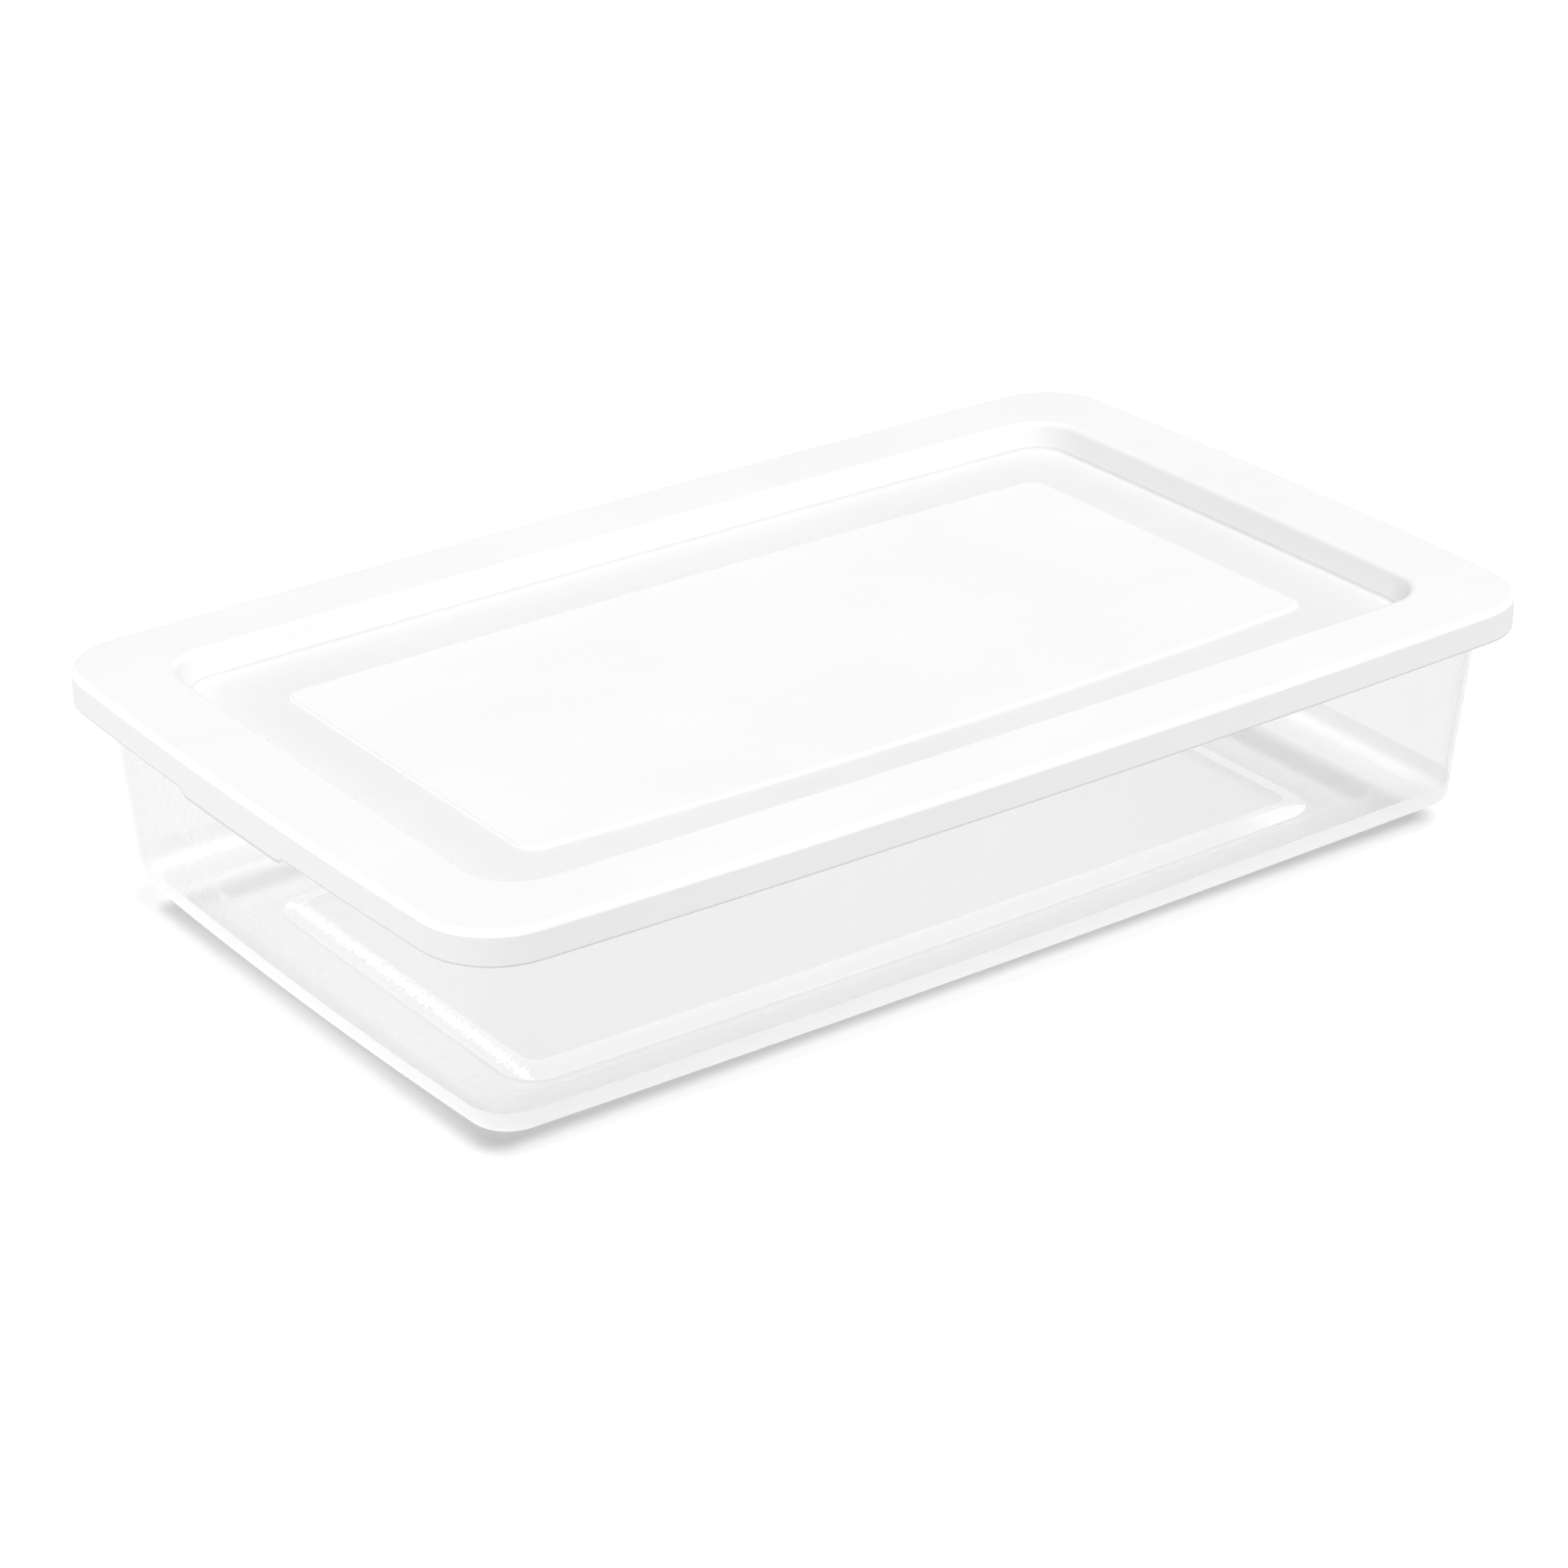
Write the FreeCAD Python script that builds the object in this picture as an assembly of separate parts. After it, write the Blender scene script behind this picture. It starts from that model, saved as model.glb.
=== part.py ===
"""Under bed box: a clear tapered tub and a white lift-off lid.

Millimetres, +Z up. The origin is the centre of the footprint, on the surface the tub stands on.
+X runs along the long sides and +Y along the short ones.

Every wall is a closed profile in (offset, z) carried round a bowed rectangle. The rectangle's four
sides are shallow arcs and its corners are tangent arcs, so each profile turns about eight upright axes.
"""

import FreeCAD
import Part
import math
import os

# Overall size
LENGTH = 690.0
WIDTH = 421.0
HEIGHT = 138.0

# Lid, whose reference outline is the outside of its skirt
LID_CORNER = 41.0
LID_BOW_LONG = 5.6
LID_BOW_SHORT = 5.8
LID_WALL = 1.8
LID_EDGE = 3.2
SKIRT_DEPTH = 18.7
SKIRT_FLARE = 0.3
SKIRT_LIP = 0.8

# Recess in the lid, which takes the foot of a box stacked on top
RECESS_X = 298.6
RECESS_Y = 167.4
RECESS_CORNER = 28.0
RECESS_BOW_LONG = 3.6
RECESS_BOW_SHORT = 0.9
RECESS_DEPTH = 13.9
RECESS_LEAN = 8.0
RECESS_TOP_ROUND = 4.5
RECESS_FOOT_ROUND = 2.0

# Raised panel in the middle of the recess
PANEL_X = 249.2
PANEL_Y = 120.2
PANEL_CORNER = 9.0
PANEL_BOW_LONG = 6.2
PANEL_BOW_SHORT = 0.4
PANEL_RISE = 1.4
PANEL_ROUND = 0.7

# Finger tabs in the skirt at both short ends
TAB_WIDTH = 91.0
TAB_SHIFT = 6.0
TAB_DROP = 3.6
TAB_BEVEL = 5.0

# Tub wall, whose reference outline is its outside at the height of the shoulder
BODY_X = 317.8
BODY_Y = 183.6
BODY_CORNER = 22.0
BODY_BOW_LONG = 3.9
BODY_BOW_SHORT = 4.6
BODY_TAPER = 0.100
TUB_WALL = 1.8
SHOULDER_Z = 14.8
SHOULDER_ROUND = 5.0

# Foot that stands below the shoulder, whose reference outline is its outside at z = 0
FOOT_X = 286.6
FOOT_Y = 148.6
FOOT_CORNER = 14.0
FOOT_BOW_LONG = 4.6
FOOT_BOW_SHORT = 1.4
FOOT_LEAN = 2.4
FOOT_ROUND = 2.8
FOOT_COVE = 3.0

# Raised floor of the tub, which clears the lid's panel when boxes are stacked
FLOOR_X = 252.4
FLOOR_Y = 115.2
FLOOR_CORNER = 10.0
FLOOR_BOW_LONG = 2.6
FLOOR_BOW_SHORT = 0.6
FLOOR_RISE = 3.9
FLOOR_RUN = 7.6
FLOOR_ROUND = 2.0

# Rim flange of the tub, inside the skirt and under the lid
RIM_GAP = 0.4
SKIRT_GAP = 1.0
RIM_LIP_DEPTH = 9.0
RIM_LIP_WALL = 1.6

UP = FreeCAD.Vector(0, 0, 1)
HERE = FreeCAD.Vector(0, 0, 0)


def outline(half_x, half_y, corner, bow_long, bow_short):
    """Return the eight arcs of a bowed rectangle as (centre x, centre y, radius, start, stop) in degrees."""
    long_r = (half_x**2 + bow_long**2) / (2 * bow_long)
    short_r = (half_y**2 + bow_short**2) / (2 * bow_short)
    long_y = half_y - long_r
    short_x = half_x - short_r
    reach_long = long_r - corner
    reach_short = short_r - corner
    gap = math.hypot(short_x, long_y)
    along = (reach_long**2 - reach_short**2 + gap**2) / (2 * gap)
    aside = math.sqrt(reach_long**2 - along**2)
    corner_x = along * short_x / gap + aside * long_y / gap
    corner_y = long_y - along * long_y / gap + aside * short_x / gap
    if corner_x < 0:
        corner_x = along * short_x / gap - aside * long_y / gap
        corner_y = long_y - along * long_y / gap - aside * short_x / gap
    low = math.degrees(math.atan2(corner_y, corner_x - short_x))
    high = math.degrees(math.atan2(corner_y - long_y, corner_x))
    return [
        (short_x, 0.0, short_r, -low, low),
        (corner_x, corner_y, corner, low, high),
        (0.0, long_y, long_r, high, 180 - high),
        (-corner_x, corner_y, corner, 180 - high, 180 - low),
        (-short_x, 0.0, short_r, 180 - low, 180 + low),
        (-corner_x, -corner_y, corner, 180 + low, 180 + high),
        (0.0, -long_y, long_r, 180 + high, 360 - high),
        (corner_x, -corner_y, corner, 360 - high, 360 - low),
    ]


def ring(arcs, offset, z):
    """Return the closed wire that lies outside the outline by the offset, at height z."""
    edges = []
    for x, y, radius, start, stop in arcs:
        centre = FreeCAD.Vector(x, y, z)
        circle = Part.Circle(centre, UP, radius + offset)
        edges.append(Part.ArcOfCircle(circle, math.radians(start), math.radians(stop)).toShape())
    return Part.Wire(Part.__sortEdges__(edges))


def plate(arcs, offset, z, thickness, hole=None):
    """Return a flat plate of the outline, less a hole given as (arcs, offset)."""
    solid = Part.Face(ring(arcs, offset, z)).extrude(UP * thickness)
    if hole:
        solid = solid.cut(Part.Face(ring(hole[0], hole[1], z)).extrude(UP * thickness))
    return solid


def rounded(points):
    """Return the edges of a closed (offset, z, round) polygon, each corner rounded by its own radius."""
    count = len(points)
    flat = [FreeCAD.Vector(p[0], 0, p[1]) for p in points]
    ends = []
    edges = []
    for i in range(count):
        here = flat[i]
        back = (flat[i - 1] - here).normalize()
        ahead = (flat[(i + 1) % count] - here).normalize()
        radius = points[i][2]
        if radius <= 0:
            ends.append((here, here))
            continue
        half = back.getAngle(ahead) / 2
        cut = radius / math.tan(half)
        first = here + back * cut
        last = here + ahead * cut
        middle = (back + ahead).normalize()
        crown = here + middle * (radius / math.sin(half) - radius)
        edges.append(Part.Arc(first, crown, last).toShape())
        ends.append((first, last))
    for i in range(count):
        start = ends[i][1]
        stop = ends[(i + 1) % count][0]
        edges.append(Part.makeLine(start, stop))
    return edges


def carry(points, arcs):
    """Return the solids made by carrying a rounded profile round the outline, one for each arc."""
    profile = Part.Face(Part.Wire(Part.__sortEdges__(rounded(points))))
    solids = []
    for x, y, radius, start, stop in arcs:
        face = profile.copy()
        face.translate(FreeCAD.Vector(radius, 0, 0))
        solid = face.revolve(HERE, UP, stop - start)
        solid.rotate(HERE, UP, start)
        solid.translate(FreeCAD.Vector(x, y, 0))
        solids.append(solid)
    return solids


def join(pieces):
    """Return one solid from pieces that share faces."""
    return pieces[0].fuse(pieces[1:]).removeSplitter()


def lid_tab(arcs, side):
    """Return the tab that hangs from the skirt in the middle of one short end."""
    skirt_foot = HEIGHT - SKIRT_DEPTH
    strip = [
        (SKIRT_FLARE - LID_WALL, skirt_foot + 2, 0),
        (SKIRT_FLARE - LID_WALL, skirt_foot - TAB_DROP, SKIRT_LIP / 2),
        (SKIRT_FLARE, skirt_foot - TAB_DROP, SKIRT_LIP),
        (SKIRT_FLARE, skirt_foot + 2, 0),
    ]
    end = carry(strip, [arcs[0] if side > 0 else arcs[4]])[0]
    low = TAB_SHIFT - TAB_WIDTH / 2
    high = TAB_SHIFT + TAB_WIDTH / 2
    corners = [
        (low - TAB_BEVEL, skirt_foot + 2),
        (low, skirt_foot - TAB_DROP - 1),
        (high, skirt_foot - TAB_DROP - 1),
        (high + TAB_BEVEL, skirt_foot + 2),
    ]
    near = side * LENGTH / 2 - 20
    wire = Part.makePolygon([FreeCAD.Vector(near, y, z) for y, z in corners + corners[:1]])
    return end.common(Part.Face(wire).extrude(FreeCAD.Vector(40, 0, 0)))


def lid():
    """Return the lid: rim band, skirt, recess and raised panel."""
    top = HEIGHT
    under = HEIGHT - LID_WALL
    half_x, half_y = LENGTH / 2 - SKIRT_FLARE, WIDTH / 2 - SKIRT_FLARE
    outer = outline(half_x, half_y, LID_CORNER, LID_BOW_LONG, LID_BOW_SHORT)
    recess = outline(RECESS_X, RECESS_Y, RECESS_CORNER, RECESS_BOW_LONG, RECESS_BOW_SHORT)
    panel = outline(PANEL_X, PANEL_Y, PANEL_CORNER, PANEL_BOW_LONG, PANEL_BOW_SHORT)
    skirt_foot = HEIGHT - SKIRT_DEPTH
    inner_edge = LID_EDGE - LID_WALL
    skirt = [
        (-10, top, 0),
        (0, top, LID_EDGE),
        (SKIRT_FLARE, skirt_foot, SKIRT_LIP),
        (SKIRT_FLARE - LID_WALL, skirt_foot, SKIRT_LIP / 2),
        (-LID_WALL, under, inner_edge),
        (-10, under, 0),
    ]
    floor_top = HEIGHT - RECESS_DEPTH
    floor_under = floor_top - LID_WALL
    lean = -RECESS_LEAN
    wall = [
        (6, top, 0),
        (0, top, RECESS_TOP_ROUND),
        (lean, floor_top, RECESS_FOOT_ROUND),
        (lean - 8, floor_top, 0),
        (lean - 8, floor_under, 0),
        (lean + LID_WALL * 0.6, floor_under, RECESS_FOOT_ROUND + LID_WALL),
        (LID_WALL * 0.6, under, RECESS_TOP_ROUND - LID_WALL),
        (6, under, 0),
    ]
    panel_top = floor_top + PANEL_RISE
    panel_under = panel_top - LID_WALL
    step = [
        (6, floor_top, 0),
        (PANEL_RISE, floor_top, PANEL_ROUND),
        (0, panel_top, PANEL_ROUND),
        (-4, panel_top, 0),
        (-4, panel_under, 0),
        (-0.8, panel_under, 0),
        (PANEL_RISE - 0.8, floor_under, 0),
        (6, floor_under, 0),
    ]
    pieces = carry(skirt, outer) + carry(wall, recess) + carry(step, panel)
    pieces.append(plate(outer, -10, under, LID_WALL, (recess, 6)))
    pieces.append(plate(recess, lean - 8, floor_under, LID_WALL, (panel, 6)))
    pieces.append(plate(panel, -4, panel_under, LID_WALL))
    pieces.append(lid_tab(outer, 1))
    pieces.append(lid_tab(outer, -1))
    return join(pieces)


def tub():
    """Return the tub: tapered wall with its rim flange, shoulder, foot and raised floor."""
    body = outline(BODY_X, BODY_Y, BODY_CORNER, BODY_BOW_LONG, BODY_BOW_SHORT)
    foot = outline(FOOT_X, FOOT_Y, FOOT_CORNER, FOOT_BOW_LONG, FOOT_BOW_SHORT)
    floor = outline(FLOOR_X, FLOOR_Y, FLOOR_CORNER, FLOOR_BOW_LONG, FLOOR_BOW_SHORT)
    rim_top = HEIGHT - LID_WALL - RIM_GAP
    rim_under = rim_top - TUB_WALL
    lip_out = LENGTH / 2 - SKIRT_FLARE - LID_WALL - SKIRT_GAP - BODY_X
    lip_in = lip_out - RIM_LIP_WALL
    lip_foot = rim_top - RIM_LIP_DEPTH
    ledge = SHOULDER_Z + TUB_WALL
    wall = [
        (-10, SHOULDER_Z, 0),
        (0, SHOULDER_Z, SHOULDER_ROUND),
        (BODY_TAPER * (rim_under - SHOULDER_Z), rim_under, 1.0),
        (lip_in, rim_under, 1.0),
        (lip_in, lip_foot, 0),
        (lip_out, lip_foot, 0.6),
        (lip_out, rim_top, 2.2),
        (BODY_TAPER * (rim_top - SHOULDER_Z) - TUB_WALL, rim_top, 2.0),
        (BODY_TAPER * TUB_WALL - TUB_WALL, ledge, SHOULDER_ROUND - TUB_WALL),
        (-10, ledge, 0),
    ]
    step = [
        (8, SHOULDER_Z, 0),
        (FOOT_LEAN, SHOULDER_Z, FOOT_COVE),
        (0, 0, FOOT_ROUND),
        (-10, 0, 0),
        (-10, TUB_WALL, 0),
        (FOOT_LEAN * 0.13 - TUB_WALL, TUB_WALL, FOOT_ROUND - TUB_WALL),
        (FOOT_LEAN * 1.13 - TUB_WALL, ledge, FOOT_COVE + TUB_WALL),
        (8, ledge, 0),
    ]
    high = FLOOR_RISE + TUB_WALL
    rise = [
        (FLOOR_RUN + 6, 0, 0),
        (FLOOR_RUN + 0.6, 0, FLOOR_ROUND),
        (-0.5, FLOOR_RISE, FLOOR_ROUND),
        (-6, FLOOR_RISE, 0),
        (-6, high, 0),
        (0, high, FLOOR_ROUND),
        (FLOOR_RUN + 1.1, TUB_WALL, FLOOR_ROUND),
        (FLOOR_RUN + 6, TUB_WALL, 0),
    ]
    pieces = carry(wall, body) + carry(step, foot) + carry(rise, floor)
    pieces.append(plate(body, -10, SHOULDER_Z, TUB_WALL, (foot, 8)))
    pieces.append(plate(foot, -10, 0, TUB_WALL, (floor, FLOOR_RUN + 6)))
    pieces.append(plate(floor, -6, FLOOR_RISE, TUB_WALL))
    return join(pieces)


def main():
    """Write one STEP file for each node."""
    os.makedirs("parts", exist_ok=True)
    nodes = {"lid": lid(), "tub": tub()}
    for name, shape in nodes.items():
        box = shape.BoundBox
        sizes = [round(size, 2) for size in (box.XLength, box.YLength, box.ZLength)]
        print(name, shape.isValid(), len(shape.Solids), sizes)
        shape.exportStep("parts/" + name + ".step")


main()
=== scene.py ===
"""Looks of the under bed box: a clear, slightly milky polypropylene tub and a white lift-off lid.

Metres, in the CAD frame: +Z up, +X along the long sides, origin on the floor under the middle.
Each piece is one moulded wall. It is built as a chain of loops round bowed rectangles, from the middle
of one face, round the rim and back to the middle of the other face.
"""

import math

import bmesh
import bpy
from mathutils import Matrix, Vector


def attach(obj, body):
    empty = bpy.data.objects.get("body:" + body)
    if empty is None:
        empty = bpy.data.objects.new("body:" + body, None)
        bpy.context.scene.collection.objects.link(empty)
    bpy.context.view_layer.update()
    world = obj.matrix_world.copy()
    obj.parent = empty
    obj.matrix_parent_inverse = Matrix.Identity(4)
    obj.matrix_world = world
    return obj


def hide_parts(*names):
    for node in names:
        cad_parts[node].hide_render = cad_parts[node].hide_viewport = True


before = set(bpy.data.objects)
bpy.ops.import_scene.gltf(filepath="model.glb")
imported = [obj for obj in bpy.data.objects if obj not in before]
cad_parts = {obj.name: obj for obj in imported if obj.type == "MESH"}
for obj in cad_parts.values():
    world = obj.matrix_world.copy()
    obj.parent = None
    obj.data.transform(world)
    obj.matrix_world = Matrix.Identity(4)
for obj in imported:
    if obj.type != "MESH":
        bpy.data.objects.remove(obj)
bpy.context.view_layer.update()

MM = 0.001

# Outlines as (half length, half width, corner radius, bow of the long sides, bow of the short sides), mm
RIM = (344.7, 210.2, 41.0, 5.6, 5.8)
RECESS = (298.6, 167.4, 28.0, 3.6, 0.9)
PANEL = (249.2, 120.2, 9.0, 6.2, 0.4)
BODY = (317.8, 183.6, 22.0, 3.9, 4.6)
FOOT = (286.6, 148.6, 14.0, 4.6, 1.4)
FLOOR = (252.4, 115.2, 10.0, 2.6, 0.6)

# Heights and thicknesses, mm
TOP = 138.0
WALL = 1.8
SKIRT_FOOT = 119.3
RECESS_FLOOR = TOP - 13.9
RECESS_UNDER = RECESS_FLOOR - WALL
LID_UNDER = TOP - WALL
PANEL_RISE = 1.4
RIM_TOP = TOP - 2.2
RIM_UNDER = RIM_TOP - WALL
LIP_FOOT = RIM_TOP - 9
SHOULDER = 14.8
LEDGE = SHOULDER + WALL
EDGE_BAND = SHOULDER + 12.2
FLOOR_RISE = 3.9

# Finger tab on each short end: its ends along the side, how far it hangs down, the run of its sloped ends,
# and how far above the foot of the skirt it starts, mm
TAB = (-39.5, 51.5)
TAB_DROP = 3.6
TAB_BEVEL = 5.0
TAB_START = 3

# Half length of the box, where its short ends begin, and half sizes of the flat floor of the recess, mm
HALF_LENGTH = 345
SHORT_END = 325
FLAT_X = RECESS[0] - 8
FLAT_Y = RECESS[1] - 8

# Sag in the middle of the long sides, of the recess and of the panel, the half spans of the last two, and the
# run over which the sag of the recess fades out, mm
LID_SAG = 0.8
RECESS_SAG = 1.9
RECESS_SPAN = 291
PANEL_SAG = 0.7
PANEL_SPAN_X = 250
PANEL_SPAN_Y = 120
SAG_EASE = 42

# Height at which the tub's walls begin to sag with the lid, and the rise over which the sag grows, mm
WALL_SAG_FOOT = 90
WALL_SAG_RISE = 40

# Steps along each side and round each corner
LONG_STEPS = 72
SHORT_STEPS = 44
CORNER_STEPS = 10

# Profiles: the smallest round, the turn between two points of a round, the longest and the shortest straight
# run that is divided, and the distance of its first and last point from its ends, in mm and degrees
LEAST_ROUND = 0.25
ROUND_TURN = 11
LONG_RUN = 9
SHORT_RUN = 0.9
END_RUN = 0.3

# Steps inward over the flat middle of a piece
FAN_STEPS = 14

# Half sizes of the patch of floor under the foot, whose edge carries the dark line of the painted contact
# shadow, metres
CONTACT_X = 0.294
CONTACT_Y = 0.152

# Places of the materials in each piece's list
# The lid's inside and skirt are painted shade, the tub's step carries painted highlights, and its edge band
# gives off painted light.
SATIN, GRAINED, SHADED_INNER, SHADED_SKIRT = range(4)
CLEAR, BASE, STEP, EDGE = range(4)


# ---------------------------------------------------------------- outlines


def arcs_of(shape):
    """Eight arcs (centre x, centre y, radius, start, stop) of a bowed rectangle, angles in radians."""
    half_x, half_y, corner, bow_long, bow_short = shape
    long_r = (half_x**2 + bow_long**2) / (2 * bow_long)
    short_r = (half_y**2 + bow_short**2) / (2 * bow_short)
    long_y, short_x = half_y - long_r, half_x - short_r
    reach_long, reach_short = long_r - corner, short_r - corner
    gap = math.hypot(short_x, long_y)
    along = (reach_long**2 - reach_short**2 + gap**2) / (2 * gap)
    aside = math.sqrt(reach_long**2 - along**2)
    x = along * short_x / gap + aside * long_y / gap
    y = long_y - along * long_y / gap + aside * short_x / gap
    if x < 0:
        x = along * short_x / gap - aside * long_y / gap
        y = long_y - along * long_y / gap - aside * short_x / gap
    low = math.atan2(y, x - short_x)
    high = math.atan2(y - long_y, x)
    pi = math.pi
    return [
        (short_x, 0, short_r, -low, low),
        (x, y, corner, low, high),
        (0, long_y, long_r, high, pi - high),
        (-x, y, corner, pi - high, pi - low),
        (-short_x, 0, short_r, pi - low, pi + low),
        (-x, -y, corner, pi + low, pi + high),
        (0, -long_y, long_r, pi + high, 2 * pi - high),
        (x, -y, corner, 2 * pi - high, 2 * pi - low),
    ]


def spread(count):
    """Even shares of an arc, without its end."""
    return [i / count for i in range(count)]


def short_shares():
    """Shares of a short side's arc: even steps, and the ends of the finger tab."""
    _, _, radius, start, stop = arcs_of(RIM)[0]
    shares = spread(SHORT_STEPS)
    for y in (TAB[0] - TAB_BEVEL, TAB[0], TAB[1], TAB[1] + TAB_BEVEL):
        for shift in (-0.5, 0.5):
            shares.append((math.asin((y + shift) / radius) - start) / (stop - start))
    return sorted(shares)


RIGHT = short_shares()
LEFT = [0.0] + sorted(1 - s for s in RIGHT if s > 0)
SHARES = [RIGHT, spread(CORNER_STEPS), spread(LONG_STEPS), spread(CORNER_STEPS)]
SHARES += [LEFT, spread(CORNER_STEPS), spread(LONG_STEPS), spread(CORNER_STEPS)]
ARCS = {shape: arcs_of(shape) for shape in (RIM, RECESS, PANEL, BODY, FOOT, FLOOR)}


def loop(shape, offset, z):
    """Points of the outline moved outward by the offset, at height z."""
    points = []
    for (x, y, radius, start, stop), shares in zip(ARCS[shape], SHARES):
        for s in shares:
            a = start + s * (stop - start)
            points.append((x + (radius + offset) * math.cos(a), y + (radius + offset) * math.sin(a), z))
    return points


def inward(points, shape, share):
    """A loop drawn in towards the line along the middle of the outline."""
    reach = shape[0] - shape[1]
    drawn = []
    for x, y, z in points:
        middle = max(-reach, min(reach, x))
        drawn.append((x + (middle - x) * share, y * (1 - share), z))
    return drawn


# ---------------------------------------------------------------- profiles


def rounded(points):
    """Dense (offset, z) points of an open profile, from its corners and the radius of the round at each."""
    dense = [points[0][:2]]
    last = Vector(points[0][:2])
    for i in range(1, len(points) - 1):
        here = Vector(points[i][:2])
        back = (Vector(points[i - 1][:2]) - here).normalized()
        ahead = (Vector(points[i + 1][:2]) - here).normalized()
        radius = max(points[i][2], LEAST_ROUND)
        half = back.angle(ahead) / 2
        cut = radius / math.tan(half)
        first, final = here + back * cut, here + ahead * cut
        centre = here + (back + ahead).normalized() * (radius / math.sin(half))
        straight(dense, last, first)
        turn = math.pi - 2 * half
        steps = max(3, round(turn / math.radians(ROUND_TURN)))
        a, b = first - centre, final - centre
        for k in range(steps + 1):
            t = k / steps
            p = centre + (a * math.sin((1 - t) * turn) + b * math.sin(t * turn)) / math.sin(turn)
            dense.append((p.x, p.y))
        last = final
    straight(dense, last, Vector(points[-1][:2]))
    dense.append(points[-1][:2])
    return dense


def straight(dense, start, stop):
    """Adds the points between two ends of a straight run."""
    length = (stop - start).length
    if length < SHORT_RUN:
        return
    count = math.ceil(length / LONG_RUN)
    between = [length * k / count for k in range(1, count)]
    for m in [END_RUN] + between + [length - END_RUN]:
        p = start + (stop - start) * (m / length)
        dense.append((p.x, p.y))


def chain(parts):
    """Loops of a piece from (outline, profile, zone) parts, with more loops across the flats between them."""
    loops = []
    zones = []
    before = None
    for shape, profile, zone in parts:
        ring = [loop(shape, offset, z) for offset, z in rounded(profile)]
        if shape == before:
            ring = ring[1:]
        elif loops:
            last = loops[-1]
            for k in (0.2, 0.4, 0.6, 0.8):
                loops.append([tuple(a + (b - a) * k for a, b in zip(p, q)) for p, q in zip(last, ring[0])])
                zones.append(zone)
        loops += ring
        zones += [zone] * len(ring)
        before = shape
    first, final = parts[0][0], parts[-1][0]
    fan = [1 - (1 - k / FAN_STEPS) ** 1.25 for k in range(1, FAN_STEPS)]
    start = [inward(loops[0], first, s) for s in reversed(fan)]
    stop = [inward(loops[-1], final, s) for s in fan]
    zones = [zones[0]] * len(start) + zones + [zones[-1]] * len(stop)
    return start + loops + stop, zones


def build(name, parts, move, materials):
    """One closed mesh from the chain of parts. move shifts a point; a face takes its zone's material."""
    loops, zones = chain(parts)
    mesh = bmesh.new()
    rows = []
    for ring in loops:
        rows.append([mesh.verts.new([c * MM for c in move(*p)]) for p in ring])
    count = len(rows[0])
    for r in range(len(rows) - 1):
        for i in range(count):
            j = (i + 1) % count
            face = mesh.faces.new((rows[r][i], rows[r][j], rows[r + 1][j], rows[r + 1][i]))
            face.material_index = zones[r + 1]
            face.smooth = True
    for row, zone in ((rows[0], zones[0]), (rows[-1], zones[-1])):
        close(mesh, row, zone)
    bmesh.ops.recalc_face_normals(mesh, faces=mesh.faces)
    data = bpy.data.meshes.new(name)
    mesh.to_mesh(data)
    mesh.free()
    for material in materials:
        data.materials.append(material)
    piece = bpy.data.objects.new(name, data)
    bpy.context.scene.collection.objects.link(piece)
    return piece


def close(mesh, row, zone):
    """Closes the narrow slot left in the middle with quads across it."""
    count = len(row)
    short = len(RIGHT)
    first = short // 2
    order = [row[(first + i) % count] for i in range(count)]
    for i in range(count // 2 - 1):
        a, b = order[i], order[i + 1]
        c, d = order[-i - 2], order[-i - 1]
        corners = [v for k, v in enumerate((a, b, c, d)) if v not in (a, b, c, d)[:k]]
        if len(corners) > 2:
            face = mesh.faces.new(corners)
            face.material_index = zone
            face.smooth = True


# ---------------------------------------------------------------- node helpers


class Nodes:
    """Short calls that add nodes to one material."""

    def __init__(self, name):
        self.material = bpy.data.materials.new(name)
        self.material.use_nodes = True
        self.tree = self.material.node_tree
        self.tree.nodes.clear()
        self.output = self.tree.nodes.new("ShaderNodeOutputMaterial")
        self.place = self.tree.nodes.new("ShaderNodeTexCoord").outputs["Object"]

    def add(self, kind, inputs=None, **settings):
        node = self.tree.nodes.new(kind)
        for key, value in settings.items():
            setattr(node, key, value)
        for key, value in (inputs or {}).items():
            socket = node.inputs[key]
            if isinstance(value, bpy.types.NodeSocket):
                self.tree.links.new(value, socket)
            else:
                socket.default_value = value
        return node

    def math(self, operation, a, b=0.0, clamp=False):
        return self.add("ShaderNodeMath", {0: a, 1: b}, operation=operation, use_clamp=clamp).outputs[0]

    def noise(self, scale, detail=2.0, rough=0.5, stretch=None, turn=0.0):
        where = self.place
        if stretch:
            turned = {"Vector": where, "Scale": stretch, "Rotation": (0, 0, turn)}
            mapping = self.add("ShaderNodeMapping", turned)
            where = mapping.outputs[0]
        inputs = {"Vector": where, "Scale": scale, "Detail": detail, "Roughness": rough}
        return self.add("ShaderNodeTexNoise", inputs).outputs["Fac"]

    def span(self, value, low, high, to_low, to_high):
        """The value taken smoothly from one range to another."""
        inputs = {"Value": value, "From Min": low, "From Max": high, "To Min": to_low, "To Max": to_high}
        return self.add("ShaderNodeMapRange", inputs, interpolation_type="SMOOTHSTEP").outputs[0]

    def bump(self, height, distance, strength, under=None):
        inputs = {"Height": height, "Distance": distance, "Strength": strength}
        if under:
            inputs["Normal"] = under
        return self.add("ShaderNodeBump", inputs).outputs[0]

    def mix(self, share, a, b):
        return self.add("ShaderNodeMixShader", {0: share, 1: a, 2: b}).outputs[0]

    def done(self, shader):
        self.tree.links.new(shader, self.output.inputs["Surface"])
        return self.material


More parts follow.
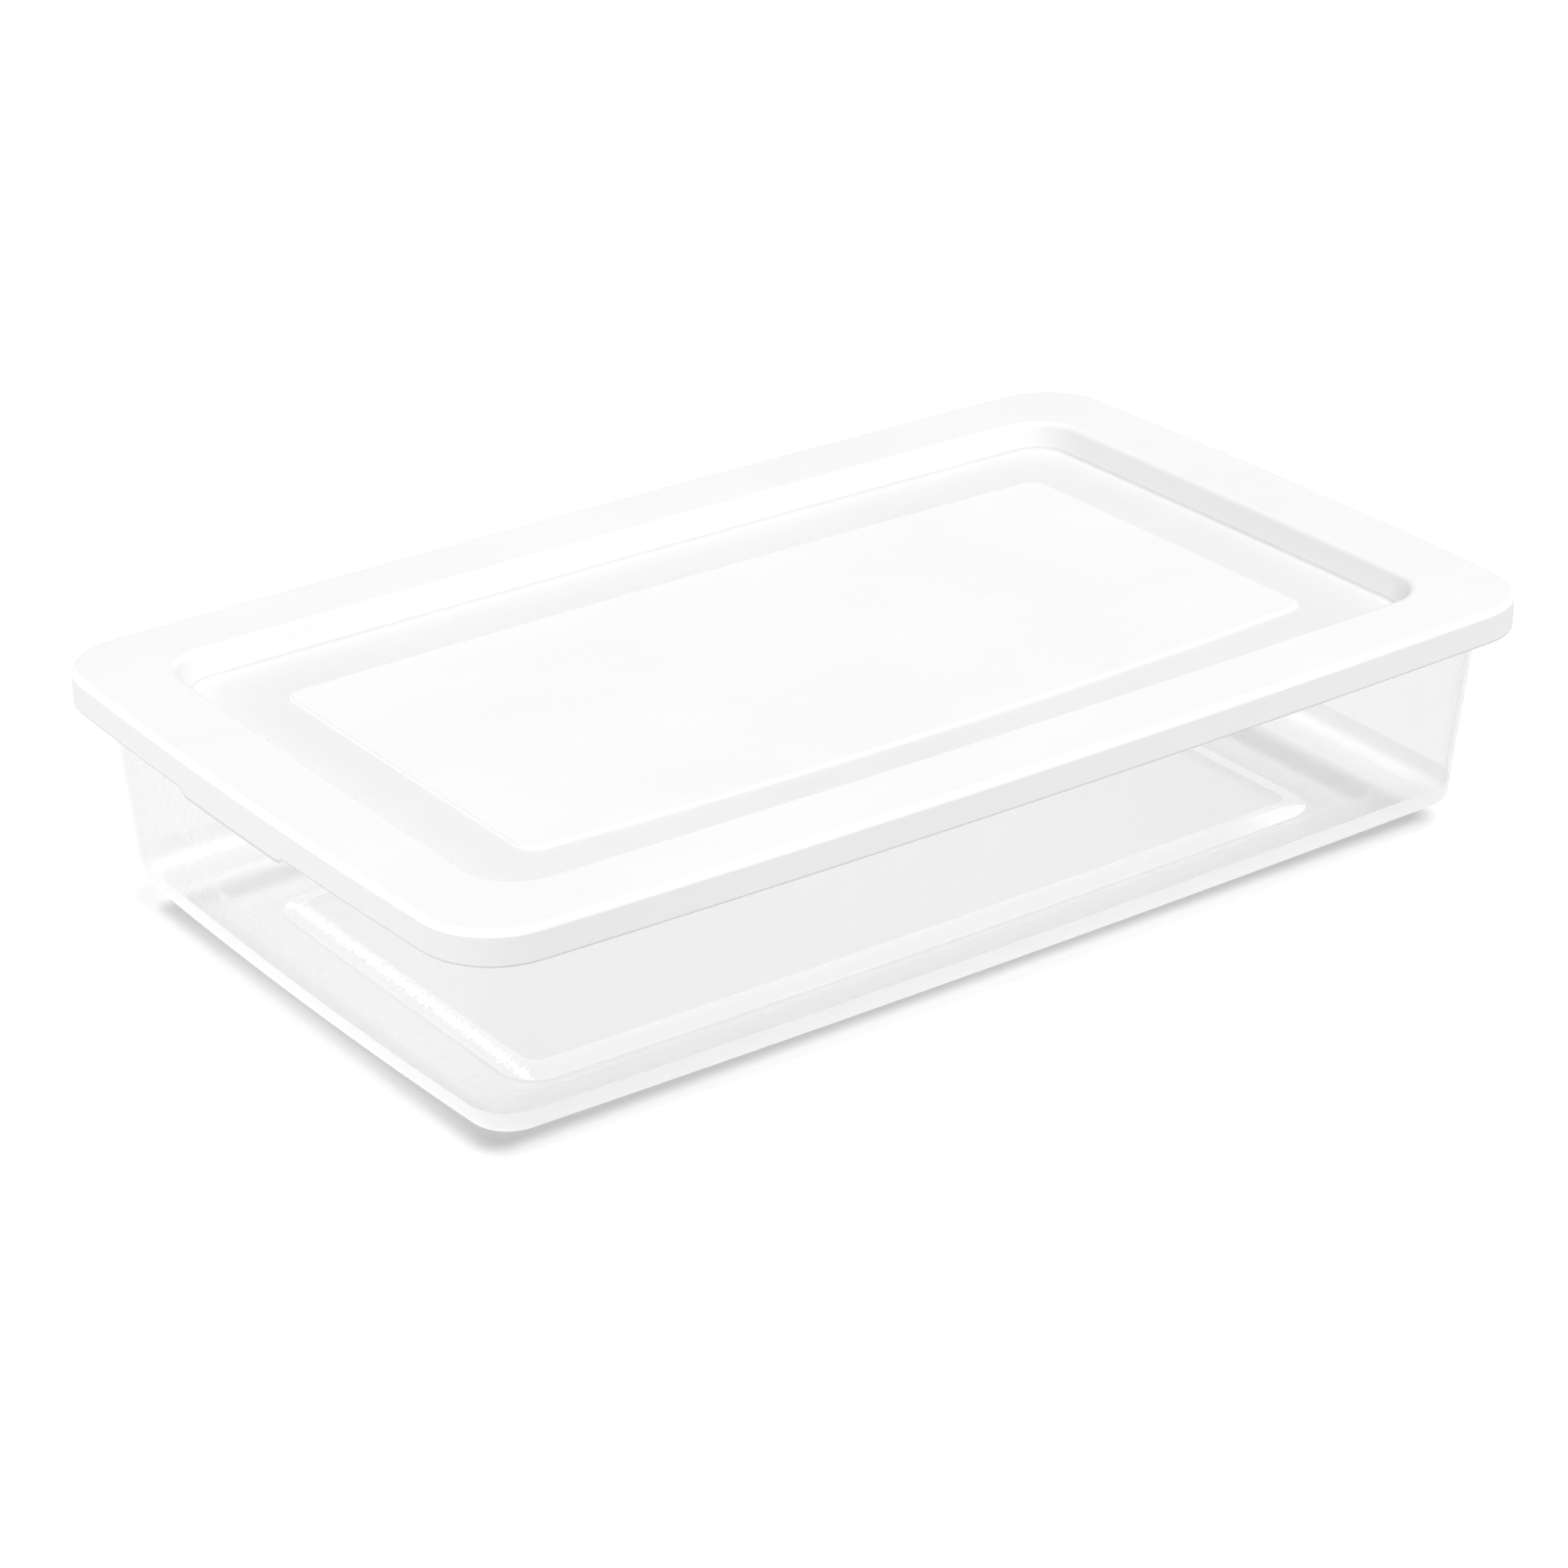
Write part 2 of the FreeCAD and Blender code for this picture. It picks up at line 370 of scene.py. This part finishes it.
def white_plastic(name, light, dark, rough, grain, grain_depth):
    """Opaque moulded polypropylene: cloudy tone, fine satin grain, flow lines and a few rubbed marks."""
    n = Nodes(name)
    cloud = n.noise(9.0, 4.0, 0.55)
    flow = n.noise(16.0, 3.0, 0.6, stretch=(1.0, 7.0, 1.0), turn=0.7)
    speck = n.noise(900.0, 2.0, 0.6)
    tone = n.math("ADD", n.math("MULTIPLY", cloud, 0.5), n.math("MULTIPLY", flow, 0.35))
    tone = n.math("ADD", tone, n.math("MULTIPLY", speck, 0.15))
    share = n.span(tone, 0.32, 0.68, 0, 1)
    ramp = n.add("ShaderNodeMix", {"Factor": share, "A": dark, "B": light}, data_type="RGBA")
    rubbed = n.span(n.noise(70.0, 5.0, 0.65, stretch=(1.0, 4.0, 1.0), turn=-0.5), 0.56, 0.7, 0, 1)
    matt = n.span(cloud, 0.3, 0.7, rough - 0.04, rough + 0.05)
    gloss = n.math("ADD", matt, n.math("MULTIPLY", rubbed, 0.06))
    wavy = n.bump(n.noise(22.0, 2.0, 0.4), 0.0012, 0.35)
    grainy = n.bump(n.noise(grain, 2.0, 0.6), grain_depth, 0.8, wavy)
    shader = n.add(
        "ShaderNodeBsdfPrincipled",
        {"Base Color": ramp.outputs[2], "Roughness": gloss, "Normal": grainy, "Specular IOR Level": 0.45},
    )
    return n.done(shader.outputs[0])


def painted_step_highlight(n):
    """Painted highlights: ragged white patches on the step of the floor, along its left end and at the front
    right, standing in for glints of light.
    """
    x, y, _ = n.add("ShaderNodeSeparateXYZ", {0: n.place}).outputs
    ragged = n.math("MULTIPLY", n.math("SUBTRACT", n.noise(330.0, 4.0, 0.8), 0.5), 0.011)
    across = n.math("ADD", x, ragged)
    reach = n.math("SUBTRACT", across, n.math("MULTIPLY", y, 0.008))
    inner, outer = n.span(reach, -0.2522, -0.2530, 0, 1), n.span(reach, -0.2578, -0.2568, 0, 1)
    left = n.math("MULTIPLY", inner, outer)
    corner = n.math("MULTIPLY", n.span(across, 0.19, 0.235, 0, 1), n.span(y, -0.1135, -0.1155, 0, 1))
    return n.math("MULTIPLY", n.math("MAXIMUM", left, corner), 0.85)


def clear_plastic(name, haze, edge, tint, painted_glow=0.0, painted_glare=False):
    """Clear polypropylene with a milky haze, thicker where it is seen edge on.

    The glow argument is painted light that the surface gives off though it is no lamp, and the glare argument
    adds the painted highlights on the floor's step: ragged patches made milky white that also give off a
    little light.
    """
    n = Nodes(name)
    cloud = n.noise(12.0, 4.0, 0.6)
    streak = n.noise(30.0, 4.0, 0.6, stretch=(1.0, 5.0, 1.0), turn=0.6)
    fine = n.noise(700.0, 2.0, 0.6)
    wavy = n.bump(n.noise(30.0, 2.0, 0.5), 0.002, 0.1)
    normal = n.bump(fine, 0.00006, 0.5, wavy)
    facing = n.add("ShaderNodeLayerWeight", {"Blend": 0.5}).outputs["Facing"]
    cloudy = n.span(cloud, 0.3, 0.7, haze - 0.008, haze + 0.008)
    milk = n.math("ADD", cloudy, n.span(streak, 0.4, 0.7, 0.0, 0.012))
    if painted_glare:
        # Painted highlight: on the patches the haze goes up to milky white and the surface gives off a little
        # light.
        painted_highlight = painted_step_highlight(n)
        milk = n.math("MAXIMUM", milk, painted_highlight)
        painted_glow = n.math("MULTIPLY", painted_highlight, 0.12)
    milk = n.math("ADD", milk, n.math("MULTIPLY", n.math("POWER", facing, 3.0), edge), clamp=True)
    white = (0.95, 0.95, 0.95, 1)
    clear = n.add("ShaderNodeBsdfTransparent", {"Color": (tint, tint, tint, 1)}).outputs[0]
    diffuse = n.add("ShaderNodeBsdfDiffuse", {"Color": white, "Normal": normal}).outputs[0]
    through = n.add("ShaderNodeBsdfTranslucent", {"Color": white}).outputs[0]
    body = n.mix(0.5, diffuse, through)
    mirror = n.math("ADD", n.math("MULTIPLY", n.math("POWER", facing, 5.0), 0.15), 0.03)
    roughness = n.span(fine, 0.3, 0.7, 0.10, 0.16)
    gloss = n.add("ShaderNodeBsdfGlossy", {"Roughness": roughness, "Normal": normal}).outputs[0]
    surface = n.mix(mirror, n.mix(milk, clear, body), gloss)
    if painted_glow:
        # Painted light: the surface gives off light though it is no lamp.
        painted_glow_shader = n.add("ShaderNodeEmission", {"Strength": painted_glow}).outputs[0]
        surface = n.add("ShaderNodeAddShader", {0: surface, 1: painted_glow_shader}).outputs[0]
        n.material.cycles.emission_sampling = "NONE"
    return n.done(surface)


# ---------------------------------------------------------------- lid


def smooth(t):
    """Eases a share between 0 and 1 at both ends."""
    t = max(0.0, min(1.0, t))
    return t * t * (3 - 2 * t)


def hump(place, half):
    """1 in the middle of a span and 0 at its ends, as a parabola."""
    return 1 - (place / half) ** 2


def lid_move(x, y, z):
    """The lid's own sag, the deeper sag of its recess, and the finger tabs at the foot of the skirt."""
    drop = LID_SAG * hump(x, HALF_LENGTH)
    inside = smooth(min((FLAT_X - abs(x)) / SAG_EASE, (FLAT_Y - abs(y)) / SAG_EASE))
    drop += RECESS_SAG * hump(x, RECESS_SPAN) * inside
    drop += PANEL_SAG * smooth(hump(x, PANEL_SPAN_X) * hump(y, PANEL_SPAN_Y)) * inside
    if abs(x) > SHORT_END and z < SKIRT_FOOT + TAB_START:
        tab = min((y - TAB[0] + TAB_BEVEL) / TAB_BEVEL, (TAB[1] + TAB_BEVEL - y) / TAB_BEVEL)
        drop += TAB_DROP * max(0.0, min(1.0, tab)) * smooth((SKIRT_FOOT + TAB_START - z) / 2.4)
    return x, y, z - drop


def lid_materials():
    """Satin on top, a darker, duller grained floor of the recess, the inside in a darker white as painted
    shade under the lid, and the skirt in a darker white than the top as painted shade on its upright faces.
    """
    satin = white_plastic(
        "lid_satin", (0.975, 0.975, 0.972, 1), (0.955, 0.955, 0.952, 1), 0.34, 1500.0, 0.00003
    )
    grained = white_plastic(
        "lid_grained", (0.86, 0.86, 0.855, 1), (0.84, 0.84, 0.835, 1), 0.6, 1100.0, 0.0001
    )
    # Painted shade: the inside and the foot of the skirt are a darker copy of the white, for the shade under
    # the lid and the dark line under the skirt.
    inner = white_plastic(
        "lid_inner_painted_shade", (0.7, 0.7, 0.695, 1), (0.66, 0.66, 0.655, 1), 0.5, 1100.0, 0.00006
    )
    # Painted shade: the skirt is a darker copy of the top's white, for the shade on its upright faces.
    skirt = white_plastic(
        "lid_skirt_painted_shade", (0.85, 0.85, 0.847, 1), (0.83, 0.83, 0.827, 1), 0.4, 1500.0, 0.00003
    )
    return [satin, grained, inner, skirt]


PANEL_TOP = RECESS_FLOOR + PANEL_RISE
PANEL_UNDER = RECESS_UNDER + PANEL_RISE
BEND_TOP = RECESS_FLOOR + 1.7375
CORNER_FOOT = TOP - 3.3
SKIRT_END = SKIRT_FOOT + 1.25

LID_PARTS = [
    (PANEL, [(-4, PANEL_TOP), (0, PANEL_TOP, 0.7), (1.4, RECESS_FLOOR, 0.7), (2.1, RECESS_FLOOR)], SATIN),
    (RECESS, [(-16, RECESS_FLOOR), (-8, RECESS_FLOOR, 2.0), (-7, BEND_TOP)], GRAINED),
    (RECESS, [(-7, BEND_TOP), (0, TOP, 4.5), (7, TOP)], SATIN),
    (RIM, [(-10, TOP), (0, TOP, 3.2), (0.05, CORNER_FOOT)], SATIN),
    # The skirt takes its painted shade from here down.
    (RIM, [(0.05, CORNER_FOOT), (0.28, SKIRT_END)], SHADED_SKIRT),
    # The foot of the skirt and the inside take the darker painted shade, which draws a dark line under the
    # skirt.
    (
        RIM,
        [
            (0.28, SKIRT_END),
            (0.3, SKIRT_FOOT, 0.8),
            (-1.5, SKIRT_FOOT, 0.4),
            (-1.8, LID_UNDER, 1.4),
            (-10, LID_UNDER),
        ],
        SHADED_INNER,
    ),
    (
        RECESS,
        [(6, LID_UNDER), (1.1, LID_UNDER, 2.7), (-6.9, RECESS_UNDER, 3.8), (-16, RECESS_UNDER)],
        SATIN,
    ),
    (
        PANEL,
        [(6, RECESS_UNDER), (0.6, RECESS_UNDER, 0.3), (-0.8, PANEL_UNDER, 0.3), (-4, PANEL_UNDER)],
        SATIN,
    ),
]


# ---------------------------------------------------------------- tub


def tub_move(x, y, z):
    """The rim sags with the lid."""
    return x, y, z - LID_SAG * hump(x, HALF_LENGTH) * smooth((z - WALL_SAG_FOOT) / WALL_SAG_RISE)


def tub_materials():
    """Clear walls, a clearer floor, its milky step with painted highlights, and the band round the shoulder,
    bright from heavy haze and from painted light that it gives off though it is no lamp.
    """
    wall = clear_plastic("tub_clear", 0.15, 0.4, 0.99)
    base = clear_plastic("tub_base", 0.045, 0.3, 0.988)
    # The step is milky, with painted highlights on it.
    step = clear_plastic("tub_step", 0.5, 0.4, 0.995, painted_glare=True)
    # The band round the shoulder is nearly white with haze, and it gives off faint painted light.
    edge = clear_plastic("tub_edge", 0.9, 0.1, 0.995, painted_glow=0.06)
    return [wall, base, step, edge]


FLOOR_TOP = FLOOR_RISE + WALL
CREASE = 11

TUB_PARTS = [
    (FLOOR, [(-6, FLOOR_TOP), (-2.4, FLOOR_TOP)], BASE),
    (FLOOR, [(-2.4, FLOOR_TOP), (0, FLOOR_TOP, 2.0), (8.7, WALL, 2.0), (10.6, WALL)], STEP),
    (FLOOR, [(10.6, WALL), (13.6, WALL)], BASE),
    (FOOT, [(-10, WALL), (-1.49, WALL, 1.0), (0, CREASE)], CLEAR),
    (FOOT, [(0, CREASE), (0.91, LEDGE, 4.8), (8, LEDGE)], CLEAR),
    (
        BODY,
        [
            (-10, LEDGE),
            (-1.62, LEDGE, 3.2),
            (10.3, RIM_TOP, 2.0),
            (24.1, RIM_TOP, 2.2),
            (24.1, LIP_FOOT, 0.6),
            (22.5, LIP_FOOT, 0.3),
            (22.5, RIM_UNDER, 1.0),
            (11.92, RIM_UNDER, 1.0),
            (1.22, EDGE_BAND),
        ],
        CLEAR,
    ),
    (BODY, [(1.22, EDGE_BAND), (0, SHOULDER, 5.0), (-10, SHOULDER)], EDGE),
    (FOOT, [(8, SHOULDER), (2.4, SHOULDER, 3.0), (0, 0, 2.8), (-10, 0)], CLEAR),
    (FLOOR, [(13.6, 0), (8.2, 0, 2.0), (-0.5, FLOOR_RISE, 2.0), (-6, FLOOR_RISE)], BASE),
]


# ---------------------------------------------------------------- scene


def main():
    lid = build("lid_shell", LID_PARTS, lid_move, lid_materials())
    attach(lid, "lid")
    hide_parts("lid")

    tub = build("tub_shell", TUB_PARTS, tub_move, tub_materials())
    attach(tub, "tub")
    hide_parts("tub")

    stage()
    lights(lid)
    camera()


def stage():
    """A pale floor with a painted shadow round the box, just below the foot."""
    data = bpy.data.meshes.new("floor")
    mesh = bmesh.new()
    bmesh.ops.create_grid(mesh, x_segments=8, y_segments=8, size=9)
    mesh.to_mesh(data)
    mesh.free()
    floor = bpy.data.objects.new("floor", data)
    floor.location.z = -0.0004
    bpy.context.scene.collection.objects.link(floor)
    data.materials.append(floor_paper())


def floor_paper():
    """Matt paper that glows a little, with painted shadow: it glows less where the box stands, least in a
    band right beside the foot as a painted contact shadow, and less again under the right end of the box.
    """
    n = Nodes("floor_paper")
    x, y, _ = n.add("ShaderNodeSeparateXYZ", {0: n.place}).outputs
    past_x = n.math("SUBTRACT", n.math("ABSOLUTE", x), CONTACT_X)
    past_y = n.math("SUBTRACT", n.math("ABSOLUTE", y), CONTACT_Y)
    beside = n.math("POWER", n.math("MAXIMUM", past_x, 0.0), 2.0)
    beside = n.math("ADD", beside, n.math("POWER", n.math("MAXIMUM", past_y, 0.0), 2.0))
    # Painted contact shadow: least light in a narrow band just outside the patch under the foot, full light
    # about 2 cm further out.
    clear_of_painted_shadow = n.span(n.math("SQRT", beside), 0.006, 0.021, 0.0, 0.48)
    # Painted shade under the box: less light there than beyond the shadow, and less again towards its right
    # end.
    inside = n.span(n.math("MAXIMUM", past_x, past_y), -0.014, 0.002, 0.25, 0.0)
    inside = n.math("MULTIPLY", inside, n.span(x, 0.235, 0.272, 1.0, 0.55))
    strength = n.math("ADD", n.math("ADD", clear_of_painted_shadow, inside), 0.3)
    paper = n.add("ShaderNodeBsdfDiffuse", {"Color": (0.25, 0.25, 0.25, 1)}).outputs[0]
    painted_glow = n.add("ShaderNodeEmission", {"Color": (1, 1, 1, 1), "Strength": strength}).outputs[0]
    return n.done(n.add("ShaderNodeAddShader", {0: paper, 1: painted_glow}).outputs[0])


def lamp(name, place, aim, size, power):
    """A rectangular lamp that lights the scene and isn't seen itself."""
    data = bpy.data.lights.new(name, "AREA")
    data.shape = "RECTANGLE"
    data.size, data.size_y = size
    data.energy = power
    obj = bpy.data.objects.new(name, data)
    obj.location = place
    obj.visible_camera = False
    obj.visible_glossy = False
    obj.rotation_euler = (Vector(aim) - Vector(place)).to_track_quat("-Z", "Y").to_euler()
    bpy.context.scene.collection.objects.link(obj)


def sun(name, direction, strength):
    """A soft sun that shines from the direction."""
    data = bpy.data.lights.new(name, "SUN")
    data.energy = strength
    data.angle = math.radians(20)
    obj = bpy.data.objects.new(name, data)
    obj.rotation_euler = direction.to_track_quat("Z", "Y").to_euler()
    bpy.context.scene.collection.objects.link(obj)
    return obj


def let_through(light, piece):
    """This light passes the piece: thin white polypropylene lets much of the light into the box."""
    group = bpy.data.collections.new("thin_plastic")
    group.objects.link(piece)
    group.collection_objects[0].light_linking.link_state = "EXCLUDE"
    light.light_linking.blocker_collection = group


def lights(lid):
    """An even white room, a soft sun from above the front, and two low lamps at the left and the front."""
    world = bpy.data.worlds.new("studio")
    world.use_nodes = True
    background = world.node_tree.nodes["Background"]
    background.inputs["Color"].default_value = (1, 1, 1, 1)
    background.inputs["Strength"].default_value = 0.35
    bpy.context.scene.world = world
    sky = Vector((-0.03, -0.25, 0.967))
    let_through(sun("key", sky, 2.33), lid)
    lamp("side", (-1.65, 0.2, 0.06), (0, 0, 0.06), (1.6, 0.12), 6.6)
    lamp("front", (1.0, -1.6, 0.35), (0.1, 0.1, 0.12), (1.0, 0.2), 2.6)


def camera():
    """The view: 100 mm lens, from the front left corner, 25 degrees above the floor."""
    data = bpy.data.cameras.new("camera")
    data.sensor_width = 36
    data.lens = 100.435
    data.clip_end = 50
    yaw, pitch, roll = math.radians(35.881), math.radians(25.436), math.radians(-0.50)
    ahead = Vector((math.sin(yaw) * math.cos(pitch), math.cos(yaw) * math.cos(pitch), -math.sin(pitch)))
    right = Vector((math.cos(yaw), -math.sin(yaw), 0))
    up = right.cross(ahead)
    side = right * math.cos(roll) + up * math.sin(roll)
    tall = up * math.cos(roll) - right * math.sin(roll)
    turn = Matrix((side, tall, -ahead)).transposed().to_4x4()
    obj = bpy.data.objects.new("camera", data)
    obj.matrix_world = Matrix.Translation((-1.2532, -1.71257, 1.05396)) @ turn
    bpy.context.scene.collection.objects.link(obj)
    bpy.context.scene.camera = obj
    view = bpy.context.scene.view_settings
    view.view_transform = "Standard"
    cycles = bpy.context.scene.cycles
    cycles.transparent_max_bounces = 40
    cycles.max_bounces = 12


main()

bpy.context.view_layer.update()
